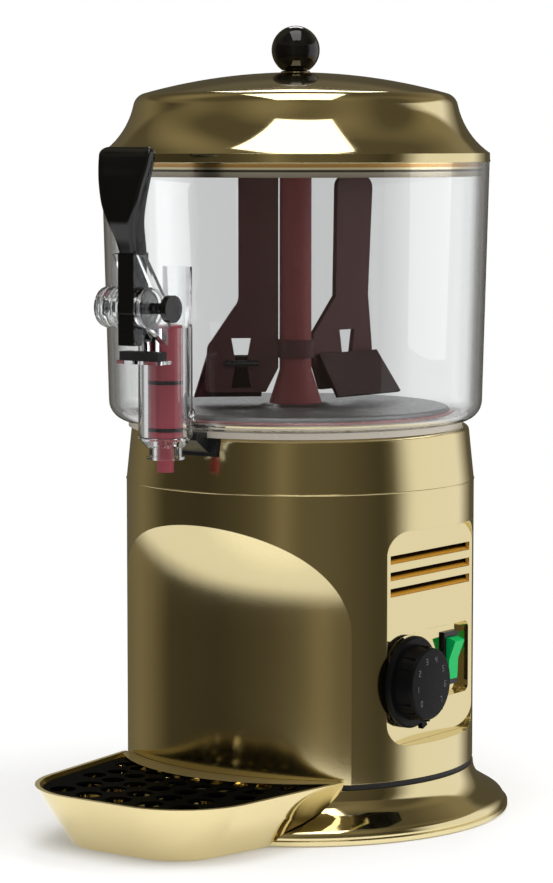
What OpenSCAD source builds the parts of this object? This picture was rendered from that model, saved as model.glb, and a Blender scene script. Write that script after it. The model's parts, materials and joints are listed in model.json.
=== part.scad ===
// Hot chocolate dispenser: a heated base with a clear bowl, a mixing paddle, a lever tap and a drip tray.
// Millimetres. +Z is up, -Y is the front with the tap, +X is the side with the controls.
// The origin is the axis of the round body on the surface that the machine stands on.

/* [Body] */
// Radius of the cylindrical housing
body_r = 105; // [100:0.5:110]
// Wall of the housing, the base and the top ring
body_wall = 2.5; // [1.5:0.1:3.5]
// Height of the housing between the base seal and the seam under the top ring
body_h = 169; // [160:1:190]
// Height of the dark seal between base and housing
seal_h = 3.3; // [2:0.1:5]
// How far the seal is set back from the housing's surface
seal_inset = 0.8; // [0.3:0.1:1.5]
// Radius of the curved front wall behind the cup space
niche_r = 139; // [132:0.5:150]
// Distance from the body axis to the axis of that curved wall
niche_axis_y = 47; // [40:0.5:52]
// Height above the housing's lower edge where the front wall begins to lean out
niche_straight_h = 87; // [70:1:95]
// Radius of the lean at the top of the cup space
niche_flare_r = 156; // [130:1:190]

/* [Base] */
// Height of the flared base
base_h = 27.7; // [24:0.1:34]
// Radius of the base rim at the bottom
rim_r = 126.5; // [124:0.5:130]
// Height of the vertical lip of the rim
rim_lip_h = 2.4; // [1.5:0.1:4]
// Radius of the hollow curve of the flare
flare_r = 16; // [13:0.5:18]
// Radius of the round edge above the lip
flare_edge_r = 5; // [4:0.5:7]
// Width of the rubber ring that the machine stands on
foot_w = 5; // [3:0.5:6]
// Height of the rubber foot ring
foot_h = 3.2; // [2.5:0.1:4]
// How far the foot ring stands out below the rim
foot_stand = 0.8; // [0.4:0.1:1.5]
// Thickness of the steel bottom plate
floor_t = 1.2; // [0.8:0.1:2]
// Radius on which the bottom plate's screws sit
floor_screw_r = 98; // [90:1:100]
// Radius of the shank of the housing screws
screw_r = 2; // [1.5:0.1:2.5]

/* [Top ring] */
// Height of the ring above the seam
ring_h = 32; // [26:0.5:40]
// Radius of the ring at its upper edge
ring_top_r = 102; // [100:0.5:104]
// Radius of the rounded upper edge of the ring
ring_round_r = 3; // [2:0.5:4]
// Width of the notch for the tap's seat
notch_w = 30; // [26:1:36]
// Depth of that notch below the top of the ring
notch_h = 11; // [9:0.5:14]

/* [Bowl] */
// How far the bowl, the paddle and the boiler sit in front of the body axis
bowl_offset = 5; // [2:0.5:6]
// Radius of the bowl at its rim
bowl_rim_r = 116; // [112:0.5:118]
// Radius of the bowl just above its bottom corner
bowl_foot_r = 112.3; // [109:0.1:113]
// Height of the bowl from its underside to its rim
bowl_h = 154.4; // [145:0.2:170]
// Wall of the bowl
bowl_wall = 3.5; // [2.5:0.1:4.5]
// Radius of the rounded bottom corner of the bowl
bowl_corner_r = 12; // [9:0.5:14]
// Radius of the open bottom of the bowl
bowl_mouth_r = 94.5; // [93.8:0.1:96]
// Thickness of the seal under the bowl
gasket_t = 3.6; // [2.5:0.1:5]

/* [Boiler] */
// Radius of the heated plate that closes the bowl
plate_r = 93; // [91:0.1:93]
// Height of the plate's surface above the top ring
plate_rise = 12; // [9:0.5:14]
// Depth of the water tank under the plate
tank_h = 38; // [30:1:45]
// Sheet thickness of the tank
tank_wall = 1.5; // [1:0.1:2]
// Radius of the tube of the heating ring
heater_r = 4; // [3:0.5:6]
// Radius of the heating ring
heater_ring_r = 60; // [45:1:70]
// Radius of the drive shaft
shaft_r = 5; // [4:0.5:5.5]
// Radial clearance of turning shafts and pins in their bores
running_fit = 0.05; // [0.02:0.01:0.1]

/* [Column and paddle] */
// Radius of the central column in the bowl
column_r = 9.6; // [8.5:0.1:10.5]
// Radius of the foot of the column
column_foot_r = 15.7; // [13:0.1:18]
// Height of the column above the plate
column_h = 138; // [128:1:145]
// Height of the cone at the foot of the column
column_cone_h = 20; // [15:1:25]
// Direction in which the paddle stands at rest, seen from above, from the control side
paddle_turn = 35.5; // [0:0.5:90]
// Thickness of the paddle's wings
wing_t = 3; // [2:0.25:4]
// Outer radius of the inner wing's shaft part
inner_wing_r = 34.5; // [28:0.5:40]
// Outer radius of the inner wing's foot
inner_foot_r = 54.5; // [48:0.5:60]
// Turn of the inner wing away from the rest direction
inner_wing_turn = 188; // [170:1:200]
// Inner radius of the outer wing's upright
outer_wing_in = 37; // [30:0.5:45]
// Outer radius of the outer wing's upright
outer_wing_out = 70; // [60:0.5:75]
// Turn of the outer wing away from the rest direction
outer_wing_turn = 48.5; // [30:0.5:60]
// Height of the collar that rides on the column, above the plate
collar_z = 28.7; // [24:0.5:34]
// Height of the collar
collar_h = 10.7; // [7:0.1:14]
// Wall of the collar
collar_wall = 1.4; // [1:0.1:2.5]
// Thickness of the scrapers
scraper_t = 2.2; // [1.5:0.1:3]
// Sideways reach of a scraper from its top edge to its bottom edge
scraper_sweep = 15.7; // [10:0.5:20]
// Height of a scraper
scraper_h = 27; // [22:0.5:32]
// Gap between the scrapers and the plate
scraper_gap = 0.5; // [0.3:0.1:1.5]

/* [Lid] */
// Rise of the lid from the bowl's rim to the top of its dome
lid_h = 53; // [46:1:60]
// Radius of the curve of the dome
lid_dome_r = 334; // [300:1:400]
// Radius at which the dome meets its rounded shoulder
lid_shoulder_r = 90.5; // [84:0.5:94]
// Radius of that shoulder
lid_round_r = 9; // [6:0.5:12]
// Radius of the hollow flare between shoulder and rim of the lid
lid_flare_r = 46; // [42:0.5:50]
// Wall of the lid
lid_wall = 2; // [1.2:0.1:3]
// Depth of the ring that centres the lid in the bowl
lid_plug_h = 8.4; // [5:0.2:12]
// Radius of the ball knob on the lid
knob_r = 14.4; // [11:0.2:18]
// Height of the neck under the ball
neck_h = 3; // [2:0.5:6]

/* [Tap] */
// Outer radius of the clear tap tube
tap_r = 15.5; // [14:0.1:17]
// Distance from the bowl's axis to the axis of the tap
tap_reach = 127.3; // [126.5:0.1:130]
// Bore radius of the tap tube
tap_bore_r = 10.2; // [9:0.1:11]
// Height of the tap tube above the bowl's underside
tap_h = 61.4; // [56:0.2:70]
// Height of the back strip that stands up behind the tube
tap_strip_h = 34; // [25:1:45]
// Radius of the neck of the spout
spout_r = 11; // [9.5:0.1:12]
// Height of the neck of the spout
spout_h = 7; // [5:0.5:10]
// Height of the cone between tube and spout neck
spout_cone_h = 5.3; // [3:0.1:8]
// Radius of the duct between bowl and tap
duct_r = 6.5; // [5.5:0.1:7]
// Height of the duct's axis above the bowl's underside
duct_z = 8.9; // [8:0.1:10]
// Distance in front of the tap axis at which the lever turns
pivot_reach = 26.1; // [25.5:0.1:27]
// Height of the lever's axis above the tube's upper end
pivot_rise = 12; // [10:0.5:15]
// Radius of the round ears that hold the pin
ear_r = 11.3; // [9:0.1:13]
// Thickness of the ear on the control side
ear_t = 4.6; // [3:0.1:6]
// Length of the long ear on the other side
long_ear_t = 15.4; // [8:0.2:18]
// Radius of the lever's pin
pin_r = 3.2; // [2.5:0.1:4]
// Radius of the head of the pin
pin_head_r = 7.7; // [6:0.1:9]
// Distance that the pin stands out beside the ear
pin_out = 15.6; // [10:0.2:20]

/* [Lever and piston] */
// Width of the lever's bar
lever_w = 11.2; // [8:0.2:12]
// Depth of the lever's bar, front to back
lever_d = 13.5; // [10:0.5:15]
// Side clearance between lever and ears
lever_play = 0.7; // [0.4:0.1:1.5]
// Length of the bar above its axis
lever_up = 31; // [26:0.5:36]
// Length of the bar below its axis
lever_down = 21; // [17:0.5:23]
// Distance behind the axis at which the lever's nose lifts the piston
nose_reach = 26; // [25:0.1:26]
// Distance below the axis of the nose
nose_drop = 18; // [17.5:0.1:18.5]
// Radius of the nose
nose_r = 3.2; // [2.8:0.1:3.3]
// Clearance above and below the nose in the piston's window
nose_play = 0.6; // [0.5:0.1:0.8]
// Width of the finger that carries the nose
finger_w = 6; // [5:0.2:7]
// Greatest width of the grip
grip_w = 34; // [26:0.5:40]
// Height of the grip above the bar
grip_h = 58; // [50:1:70]
// Radius of the piston
piston_r = 9.8; // [8.8:0.1:10.6]
// Radius of the rod that closes the spout
rod_r = 4.8; // [4:0.1:5.5]
// How far the rod stands out below the spout
rod_out = 7.5; // [3:0.5:12]
// Width of the buffer under the lever
buffer_w = 27.6; // [20:0.2:30]
// Thickness of the buffer
buffer_t = 5; // [3:0.5:6]

/* [Controls] */
// Depth of the flat control panel below the round surface
panel_depth = 10.5; // [9:0.1:13]
// Width of the control panel
panel_w = 91.2; // [82:0.2:91.2]
// Height of the control panel
panel_h = 126; // [118:1:140]
// Height of the panel's middle
panel_z = 114; // [108:1:125]
// Radius of the panel's corners
panel_corner_r = 14; // [8:0.5:20]
// Thickness of the panel
panel_t = 2.5; // [1.5:0.1:3]
// Number of air slots
slot_count = 3; // [1:1:4]
// Length of an air slot
slot_w = 84.5; // [60:0.5:85]
// Height of an air slot
slot_h = 5; // [3:0.5:6]
// Spacing of the air slots
slot_pitch = 9.6; // [8:0.2:12]
// Distance from the panel's upper edge to the first slot
slot_drop = 14; // [8:0.5:20]
// Depth of the pocket for dial and switch
pocket_depth = 5; // [3:0.5:7]
// Height of the pocket
pocket_h = 42.7; // [38:0.5:50]
// Height of the pocket's middle
pocket_z = 94.2; // [88:0.5:100]
// Distance from the middle of the panel to the end of the pocket on the switch side
pocket_end = 41.5; // [38:0.5:43]
// Radius of the round end of the pocket round the dial
dial_recess_r = 27; // [26:0.5:29]
// Radius of the dial's skirt
dial_skirt_r = 27; // [22:0.5:28]
// Radius of the dial's grip
dial_grip_r = 21.5; // [16:0.5:23]
// Distance that the dial's face stands out from the panel
dial_out = 17; // [12:0.5:22]
// Distance from the panel's middle to the dial, towards the front
dial_y = 24.5; // [20:0.5:28]
// Height of the dial's axis
dial_z = 87.5; // [82:0.5:92]
// Distance from the panel's middle to the switch, towards the back
switch_y = 27.5; // [24:0.5:30]
// Width of the switch frame
switch_w = 15; // [13:0.5:18]
// Height of the switch frame
switch_h = 32; // [28:0.5:36]
// Rocking angle of the switch to either side of its middle
rock_angle = 12; // [8:1:15]

/* [Drip tray] */
// Height of the tray's rim
tray_h = 33.4; // [31:0.2:38]
// Distance from the body axis to the front of the tray
tray_front = 196; // [185:1:205]
// Half the width of the tray at its back corners
tray_half_w = 82.6; // [80:0.2:84]
// Radius of the tray's front corners
tray_corner_r = 50; // [40:1:55]
// How far the tray's foot is drawn in at the front
tray_draw_in = 18; // [10:0.5:22]
// Wall of the tray
tray_wall = 2.2; // [1.5:0.1:3]
// Thickness of the grille
grille_t = 1.6; // [1:0.1:2.5]
// Depth of the grille below the tray's rim
grille_drop = 1.8; // [1:0.1:4]
// Number of curved rows of holes in the grille
hole_rows = 5; // [3:1:5]
// Distance of the first row from the axis of the curved wall
hole_first_r = 155; // [153:0.5:158]
// Ratio between the distances of neighbouring rows
hole_growth = 1.0965; // [1.08:0.0005:1.1]
// Angle between neighbouring holes of a row
hole_step = 5.7; // [5:0.1:7]
// Web left between neighbouring holes of a row
hole_web = 4.7; // [3:0.1:7]
// Largest diameter of a hole
hole_last_d = 15.5; // [12:0.5:16]
// Clearance between tray and housing
tray_gap = 0.5; // [0.3:0.1:1]

/* [Hidden] */
$fn = 96;

// Heights
shell_z = base_h + seal_h;
seam_z = shell_z + body_h;
ring_z = seam_z + ring_h;
bowl_z = ring_z + gasket_t;
rim_z = bowl_z + bowl_h;
plate_z = ring_z + plate_rise;
tank_z = plate_z - tank_h;
column_z = plate_z + tank_wall;
lid_z = rim_z + lid_h;
tap_z = bowl_z - 1.8;
tap_top_z = bowl_z + tap_h;
spout_z = tap_z - spout_cone_h - spout_h;
pivot_z = tap_top_z + pivot_rise;
bowl_y = -bowl_offset;
tap_y = bowl_y - tap_reach;
pivot_y = tap_y - pivot_reach;
panel_x = body_r - panel_depth;
pocket_x = panel_x - pocket_depth;
plain_gap = 0.3;
seam_lip = 4;

GOLD = [0.80, 0.68, 0.38];
STEEL = [0.72, 0.73, 0.75];
BLACK = [0.05, 0.05, 0.06];
RUST = [0.52, 0.22, 0.24];
BROWN = [0.22, 0.15, 0.14];
CLEAR = [0.85, 0.92, 0.95, 0.35];

// Points along an arc from angle a to angle b
function arc(cx, cy, r, a, b, steps = 8) =
    [for (i = [0 : steps]) [cx + r * cos(a + (b - a) * i / steps), cy + r * sin(a + (b - a) * i / steps)]];

module at_bowl_axis() {
    translate([0, bowl_y, 0]) children();
}

// A round bar along X with one end at x
module bar_x(x, r, length) {
    translate([x, 0, 0]) rotate([0, 90, 0]) cylinder(r = r, h = length);
}

// A flat outline in Y and Z, made t thick from x towards +X
module slab_x(x, t) {
    translate([x, 0, 0]) rotate([90, 0, 90]) linear_extrude(height = t) children();
}

module rounded_rect(w, h, r) {
    union() {
        square([w - 2 * r, h], center = true);
        square([w, h - 2 * r], center = true);
        for (x = [-1, 1], y = [-1, 1]) translate([x * (w / 2 - r), y * (h / 2 - r)]) circle(r = r);
    }
}

// ---------------------------------------------------------------- housing

// The space behind the curved front wall, moved back by inset
module behind_niche(inset) {
    flare_z = shell_z + niche_straight_h;
    translate([0, niche_axis_y, 0])
    rotate_extrude($fn = 180)
    difference() {
        square([niche_r + 60, ring_z + 40]);
        translate([niche_r - inset, -1]) square([80, flare_z + 1]);
        translate([niche_r + niche_flare_r, flare_z]) circle(r = niche_flare_r + inset, $fn = 360);
    }
}

// The housing's solid outline between two heights, drawn in by inset
module body_solid(inset, z0, z1) {
    intersection() {
        translate([0, 0, z0]) cylinder(r = body_r - inset, h = z1 - z0, $fn = 180);
        behind_niche(inset);
    }
}

// The window for the control panel, grown by extra and running out to the side
module panel_window(extra, x) {
    translate([0, 0, panel_z]) slab_x(x, body_r + 5 - x)
    rounded_rect(panel_w + 2 * extra, panel_h + 2 * extra, panel_corner_r + extra);
}

module body_shell() {
    collar_t = 2.2;
    ledge_x = panel_x - panel_t;
    color(GOLD)
    difference() {
        union() {
            difference() {
                body_solid(0, shell_z, seam_z);
                body_solid(body_wall, shell_z - 1, seam_z + 1);
            }
            intersection() {
                body_solid(0, shell_z, seam_z);
                panel_window(collar_t, ledge_x);
            }
        }
        panel_window(0, ledge_x - 1);
        translate([0, body_r, gland_z]) rotate([90, 0, 0]) cylinder(r = gland_r, h = 20, center = true);
    }
}

gland_z = shell_z + 14;
gland_r = 7;

module base_seal() {
    color(BLACK)
    difference() {
        body_solid(seal_inset, base_h, shell_z);
        body_solid(body_wall + 2, base_h - 1, shell_z + 1);
    }
}

// Section of the flared base in radius and height, drawn in by t
function flare_top_r() = body_r + 0.4;
function flare_cx() = flare_top_r() + flare_r;
function edge_cx() = rim_r - 2 - flare_edge_r;
function edge_cz() = foot_stand + rim_lip_h + 1.2;
// Slope of the straight stretch that touches both curves
function flare_dx() = flare_cx() - edge_cx();
function flare_dz() = base_h - edge_cz();
function flare_len() = sqrt(flare_dx() * flare_dx() + flare_dz() * flare_dz());
function flare_angle() = acos((flare_r + flare_edge_r) / flare_len()) + atan2(flare_dx(), flare_dz());
function flare_points(t) = concat(
    arc(flare_cx(), base_h, flare_r + t, 180 + asin(t / (flare_r + t)), 270 - flare_angle(), 10),
    arc(edge_cx(), edge_cz(), flare_edge_r - t, 90 - flare_angle(), 0, 6));

module flange_solid(t) {
    rotate_extrude($fn = 180)
    polygon(concat([[0, foot_stand], [0, base_h - t]], flare_points(t), [[rim_r - 2 - t, foot_stand]]));
}

module base_flange() {
    rim_in = rim_r - 10.7;
    lip_z = foot_stand + rim_lip_h;
    color(GOLD)
    difference() {
        union() {
            difference() {
                flange_solid(0);
                difference() {
                    flange_solid(body_wall);
                    for (i = [0 : 3]) rotate([0, 0, 45 + i * 90])
                    translate([floor_screw_r, 0, lip_z]) cylinder(r = screw_r + 2.5, h = base_h, $fn = 32);
                }
                translate([0, 0, base_h - body_wall - 1])
                cylinder(r = body_r - 24, h = body_wall + 2, $fn = 120);
            }
            translate([0, 0, foot_stand]) difference() {
                cylinder(r = rim_r, h = rim_lip_h, $fn = 180);
                translate([0, 0, -1]) cylinder(r = rim_in, h = rim_lip_h + 2, $fn = 180);
            }
            translate([0, 0, lip_z - 0.4]) difference() {
                cylinder(r = rim_r - 4, h = 2.2, $fn = 180);
                translate([0, 0, -1]) cylinder(r = rim_in, h = 5, $fn = 180);
            }
        }
        translate([0, 0, -1]) cylinder(r = rim_in, h = lip_z + 1, $fn = 180);
        foot_solid();
        for (i = [0 : 3]) rotate([0, 0, 45 + i * 90])
        translate([floor_screw_r, 0, 0]) cylinder(r = screw_r + running_fit, h = base_h - body_wall, $fn = 32);
    }
}

// The foot ring lies in a groove of this shape
module foot_solid() {
    outer = rim_r - 3.5;
    difference() {
        cylinder(r = outer, h = foot_h, $fn = 180);
        translate([0, 0, -1]) cylinder(r = outer - foot_w, h = foot_h + 2, $fn = 180);
    }
}

module foot_ring() {
    color(BLACK) foot_solid();
}

module bottom_plate() {
    top_z = foot_stand + rim_lip_h;
    color(STEEL)
    difference() {
        translate([0, 0, top_z - floor_t]) cylinder(r = rim_r - 10.9, h = floor_t, $fn = 180);
        for (i = [0 : 3]) rotate([0, 0, 45 + i * 90])
        translate([floor_screw_r, 0, 0]) cylinder(r = screw_r + running_fit, h = 10, $fn = 32);
        for (i = [-4 : 4]) translate([i * 11, 0, top_z]) cube([4, 56, 4 * floor_t], center = true);
    }
}

module housing_screws() {
    head_h = 1.4;
    plate_bottom = foot_stand + rim_lip_h - floor_t;
    color(STEEL)
    for (i = [0 : 3]) rotate([0, 0, 45 + i * 90]) translate([floor_screw_r, 0, plate_bottom]) {
        translate([0, 0, -head_h]) cylinder(r = screw_r + 1.6, h = head_h, $fn = 32);
        cylinder(r = screw_r, h = 18, $fn = 32);
    }
}

module cable_gland() {
    color(BLACK)
    translate([0, body_r, gland_z]) rotate([-90, 0, 0])
    difference() {
        union() {
            translate([0, 0, 0.3]) cylinder(r = gland_r + 2, h = 2.5, $fn = 48);
            translate([0, 0, -body_wall - 3]) cylinder(r = gland_r - running_fit, h = body_wall + 3.4, $fn = 48);
        }
        translate([0, 0, -20]) cylinder(r = 3.6, h = 40, $fn = 48);
    }
}

// ---------------------------------------------------------------- top ring and boiler

module ring_outline(inset) {
    top = ring_z - inset;
    r1 = body_r - inset;
    r2 = ring_top_r - inset;
    rr = ring_round_r;
    polygon(concat([[0, seam_z - inset], [r1, seam_z - inset]],
        arc(r2 - rr, top - rr, rr, 0, 90, 6), [[0, top]]));
}

module top_ring() {
    lip_r = body_r - body_wall;
    color(GOLD)
    difference() {
        union() {
            difference() {
                rotate_extrude($fn = 180) ring_outline(0);
                rotate_extrude($fn = 180) ring_outline(body_wall);
            }
            // spigot inside the housing
            difference() {
                body_solid(body_wall + 0.1, seam_z - seam_lip, seam_z + body_wall);
                body_solid(2 * body_wall, seam_z - seam_lip - 1, seam_z + body_wall + 1);
            }
        }
        translate([0, 0, seam_z - seam_lip - 1]) cylinder(r = lip_r - body_wall, h = seam_lip + 4, $fn = 180);
        at_bowl_axis() translate([0, 0, ring_z - 20]) cylinder(r = plate_r + plain_gap, h = 30, $fn = 180);
        translate([-notch_w / 2, -body_r - 5, ring_z - notch_h]) cube([notch_w, 25, notch_h + 5]);
    }
}

// Dark block in the notch that carries the tap's duct
module tap_seat() {
    top = bowl_z - plain_gap;
    floor_z = ring_z - notch_h;
    tip_y = tap_y + tap_r + 0.5;
    back_y = bowl_y - plate_r - 1;
    w = notch_w - 2 * plain_gap;
    color(BLACK)
    difference() {
        union() {
            translate([-w / 2, 0, 0]) rotate([90, 0, 90]) linear_extrude(height = w)
            polygon([[back_y, floor_z], [-ring_top_r - 1.5, floor_z], [-ring_top_r - 1.5, ring_z - plain_gap],
                [back_y, ring_z - plain_gap]]);
            translate([-w / 3, 0, 0]) rotate([90, 0, 90]) linear_extrude(height = 2 * w / 3)
            polygon([[-ring_top_r + 3, floor_z + 1], [-ring_top_r - 4, floor_z + 3], [tip_y, top - 4],
                [tip_y, top], [-ring_top_r - 4.2, top], [-ring_top_r - 4.2, ring_z - 0.5],
                [-ring_top_r + 3, ring_z - 0.5]]);
        }
        at_bowl_axis() translate([0, 0, floor_z - 1]) cylinder(r = plate_r + 1, h = 40, $fn = 180);
    }
}

module boiler_tank() {
    r = plate_r;
    flange_z = ring_z - body_wall - 1.5;
    color(STEEL)
    difference() {
        union() {
            at_bowl_axis() rotate_extrude($fn = 180)
            polygon(concat([[0, tank_z], [r, tank_z]], arc(r - 3, plate_z - 3, 3, 0, 90, 6),
                [[column_foot_r + 6, plate_z], [column_foot_r + 3, column_z], [0, column_z]]));
            // flange that hangs the tank under the top ring
            intersection() {
                at_bowl_axis() translate([0, 0, flange_z - 2]) cylinder(r = r + 4, h = 3.5, $fn = 180);
                translate([0, 0, flange_z - 3]) cylinder(r = ring_top_r - body_wall - 3.1, h = 5, $fn = 180);
            }
        }
        at_bowl_axis() difference() {
            rotate_extrude($fn = 180)
            polygon(concat([[0, tank_z - 1], [r - tank_wall, tank_z - 1]],
                arc(r - 3, plate_z - 3, 3 - tank_wall, 0, 90, 6),
                [[column_foot_r + 6, plate_z - tank_wall], [0, plate_z - tank_wall]]));
            translate([0, 0, tank_z - 2]) cylinder(r = shaft_r + 4, h = tank_h + 4, $fn = 64);
        }
        at_bowl_axis() translate([0, 0, tank_z - 2]) cylinder(r = shaft_r + 2, h = tank_h + 10, $fn = 64);
    }
}

module boiler_base() {
    color(STEEL)
    at_bowl_axis()
    difference() {
        translate([0, 0, tank_z - 2]) cylinder(r = plate_r, h = 2, $fn = 120);
        translate([0, 0, tank_z - 3]) cylinder(r = shaft_r + 2, h = 4, $fn = 64);
    }
}

module heating_ring() {
    color(STEEL)
    at_bowl_axis() translate([0, 0, tank_z + heater_r + plain_gap]) {
        rotate_extrude($fn = 96) translate([heater_ring_r, 0]) circle(r = heater_r, $fn = 32);
        for (x = [-1, 1]) translate([x * 12, heater_ring_r, -heater_r - plain_gap])
        cylinder(r = heater_r - 1, h = heater_r, $fn = 32);
    }
}

module shaft_bush() {
    color("ivory")
    at_bowl_axis() translate([0, 0, tank_z + 2])
    difference() {
        cylinder(r = shaft_r + 2 - 0.01, h = tank_h - 4, $fn = 64);
        translate([0, 0, -1]) cylinder(r = shaft_r + running_fit, h = tank_h, $fn = 64);
    }
}

motor_z = tank_z - 2 - 12;
gearbox_h = 34;
gearbox_r = 40;

module gear_motor() {
    color([0.35, 0.36, 0.38])
    at_bowl_axis()
    difference() {
        union() {
            translate([0, 0, motor_z - gearbox_h]) cylinder(r = gearbox_r, h = gearbox_h, $fn = 96);
            translate([0, 0, motor_z - gearbox_h - 48]) cylinder(r = 31, h = 49, $fn = 96);
        }
        translate([0, 0, motor_z - 20]) cylinder(r = shaft_r + running_fit, h = 21, $fn = 64);
    }
}

module motor_bracket() {
    color(STEEL)
    at_bowl_axis()
    difference() {
        union() {
            translate([0, 0, motor_z]) cylinder(r = gearbox_r + 12, h = 2, $fn = 96);
            for (i = [0 : 2]) rotate([0, 0, 90 + i * 120]) translate([gearbox_r + 5, 0, motor_z])
            cylinder(r = 4, h = tank_z - 2 - motor_z, $fn = 32);
        }
        translate([0, 0, motor_z - 1]) cylinder(r = shaft_r + 6, h = 4, $fn = 64);
    }
}

// ---------------------------------------------------------------- column, shaft and paddle

column_top_z = column_z + column_h;

module central_column() {
    color(RUST)
    at_bowl_axis()
    rotate_extrude($fn = 96)
    polygon([[shaft_r + 1.5, column_z], [column_foot_r, column_z], [column_foot_r, column_z + 0.8],
        [column_r, column_z + column_cone_h], [column_r, column_top_z], [shaft_r + 1.5, column_top_z]]);
}

hub_z = column_top_z + plain_gap;
hub_h = 9;

module drive_shaft() {
    color(STEEL)
    at_bowl_axis()
    translate([0, 0, motor_z - 19.5]) cylinder(r = shaft_r, h = hub_z + hub_h - 2 - motor_z + 19.5, $fn = 64);
}

// A wing of the paddle stands in the plane of its radius, with its outline in radius and height
module wing(turn) {
    at_bowl_axis() rotate([0, 0, paddle_turn + turn])
    translate([0, wing_t / 2, 0]) rotate([90, 0, 0]) linear_extrude(height = wing_t) children();
}

wing_foot_z = plate_z + 8;
wing_top_z = rim_z - 9.5;
knee_z = wing_top_z - 72;
flare_knee_z = plate_z + 39;
waist_z = plate_z + 25.5;

// Bow-tie opening through which a scraper's hinge tongue passes
module bow_tie(r, half_w, half_h) {
    polygon([[r - half_w, waist_z - half_h], [r + half_w, waist_z - half_h], [r + half_w * 0.62, waist_z - 2],
        [r + half_w * 0.62, waist_z + 2], [r + half_w, waist_z + half_h], [r - half_w, waist_z + half_h],
        [r - half_w * 0.62, waist_z + 2], [r - half_w * 0.62, waist_z - 2]]);
}

inner_tie_r = 33;
outer_tie_r = 46;

module mixing_paddle() {
    gap_r = column_r + 1;
    collar_r = column_r + plain_gap + collar_wall;
    cone_in = column_foot_r + 2.5;
    color(BROWN)
    difference() {
        union() {
            wing(inner_wing_turn)
            difference() {
                polygon(concat([[gap_r, hub_z + 2], [gap_r, column_z + column_cone_h + 1], [cone_in, wing_foot_z]],
                    arc(inner_foot_r - 3, wing_foot_z + 3, 3, 270, 360, 4),
                    arc(inner_foot_r - 9, flare_knee_z - 6, 8, 0, 45, 4),
                    arc(inner_wing_r + 9, knee_z + 1, 9, 225, 180, 4),
                    [[inner_wing_r, hub_z + 2]]));
                bow_tie(inner_tie_r, 6, 15);
            }
            wing(outer_wing_turn)
            difference() {
                polygon(concat([[gap_r, collar_top_z - 1.5], [gap_r, collar_bottom_z + 1.5],
                    [collar_r + 1.5, collar_bottom_z + 1.5], [cone_in + 4, wing_foot_z], [outer_wing_out - 2, wing_foot_z],
                    [outer_wing_out, plate_z + 31], [outer_wing_out - 4, knee_z]],
                    arc(outer_wing_out - 7, wing_top_z - 7, 7, 0, 90, 5),
                    arc(outer_wing_in + 6, wing_top_z - 6, 6, 90, 180, 5),
                    [[outer_wing_in - 1.5, knee_z], [collar_r + 4, collar_top_z + 3],
                    [collar_r + 2, collar_top_z - 1.5]]));
                bow_tie(outer_tie_r, 7, 18);
            }
            // collar on the column
            at_bowl_axis() translate([0, 0, collar_bottom_z])
            cylinder(r = collar_r, h = collar_h, $fn = 96);
            // hub on the drive shaft
            at_bowl_axis() translate([0, 0, hub_z]) cylinder(r = column_r + 3, h = hub_h, $fn = 96);
            // bridge from the hub to the inner wing
            at_bowl_axis() rotate([0, 0, paddle_turn + inner_wing_turn])
            translate([column_r - 1, -5, hub_z + 1]) cube([inner_wing_r - column_r - 1, 10, 4]);
        }
        at_bowl_axis() translate([0, 0, collar_bottom_z - 1])
        cylinder(r = column_r + plain_gap, h = collar_h + 2, $fn = 96);
        at_bowl_axis() translate([0, 0, hub_z - 1]) cylinder(r = shaft_r + 0.02, h = hub_h - 1, $fn = 64);
    }
}

collar_bottom_z = plate_z + collar_z;
collar_top_z = collar_bottom_z + collar_h;

// A scraper hangs on the trailing face of a wing and sweeps down to the plate
module scraper(turn, r0, r1, tongue_r) {
    low_z = column_z + scraper_gap;
    face_t = -wing_t / 2 - plain_gap;
    lean = atan2(scraper_sweep, scraper_h);
    at_bowl_axis() rotate([0, 0, paddle_turn + turn]) translate([0, face_t, low_z + scraper_h])
    rotate([-lean, 0, 0]) {
        slant = sqrt(scraper_sweep * scraper_sweep + scraper_h * scraper_h) - scraper_t;
        rotate([90, 0, 0]) linear_extrude(height = scraper_t)
        polygon([[r0, 0], [r1 - 6, 0], [r1, -slant], [r0 + 1, -slant]]);
    }
    // tongue through the bow-tie
    at_bowl_axis() rotate([0, 0, paddle_turn + turn])
    translate([tongue_r, face_t - scraper_t * 0.6, low_z + scraper_h - 4]) cube([4, scraper_t, 8], center = true);
}

module scrapers() {
    color([0.16, 0.11, 0.11]) {
        scraper(inner_wing_turn, cone_clear_r, inner_foot_r + 5, inner_tie_r);
        scraper(outer_wing_turn, cone_clear_r, outer_wing_out + 8, outer_tie_r);
    }
}

cone_clear_r = column_foot_r + 2;

module scraper_pins() {
    color(BLACK)
    for (p = [[inner_wing_turn, inner_tie_r], [outer_wing_turn, outer_tie_r]])
    at_bowl_axis() rotate([0, 0, paddle_turn + p[0]])
    translate([0, wing_t / 2 + 1.7, waist_z]) bar_x(p[1] - 10, 1.6, 20);
}

// ---------------------------------------------------------------- bowl and lid

// Outer or inner surface of the bowl as a solid of revolution, drawn in by t
module bowl_solid(t, z_low, z_high) {
    corner = bowl_corner_r - t;
    cr = bowl_foot_r - bowl_corner_r;
    rotate_extrude($fn = 180)
    polygon(concat([[0, z_low]], [[cr, z_low]],
        arc(cr, bowl_z + bowl_corner_r, corner, 270, 360, 8),
        [[bowl_rim_r - t + (z_high - rim_z) * 0.026, z_high], [0, z_high]]));
}

module bowl() {
    color(CLEAR)
    at_bowl_axis()
    difference() {
        bowl_solid(0, bowl_z, rim_z);
        bowl_solid(bowl_wall, bowl_z + bowl_wall, rim_z + 2);
        translate([0, 0, bowl_z - 1]) cylinder(r = bowl_mouth_r, h = 10, $fn = 180);
        translate([0, 0, bowl_z + duct_z]) rotate([90, 0, 0]) cylinder(r = duct_r, h = 150, $fn = 64);
    }
}

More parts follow.
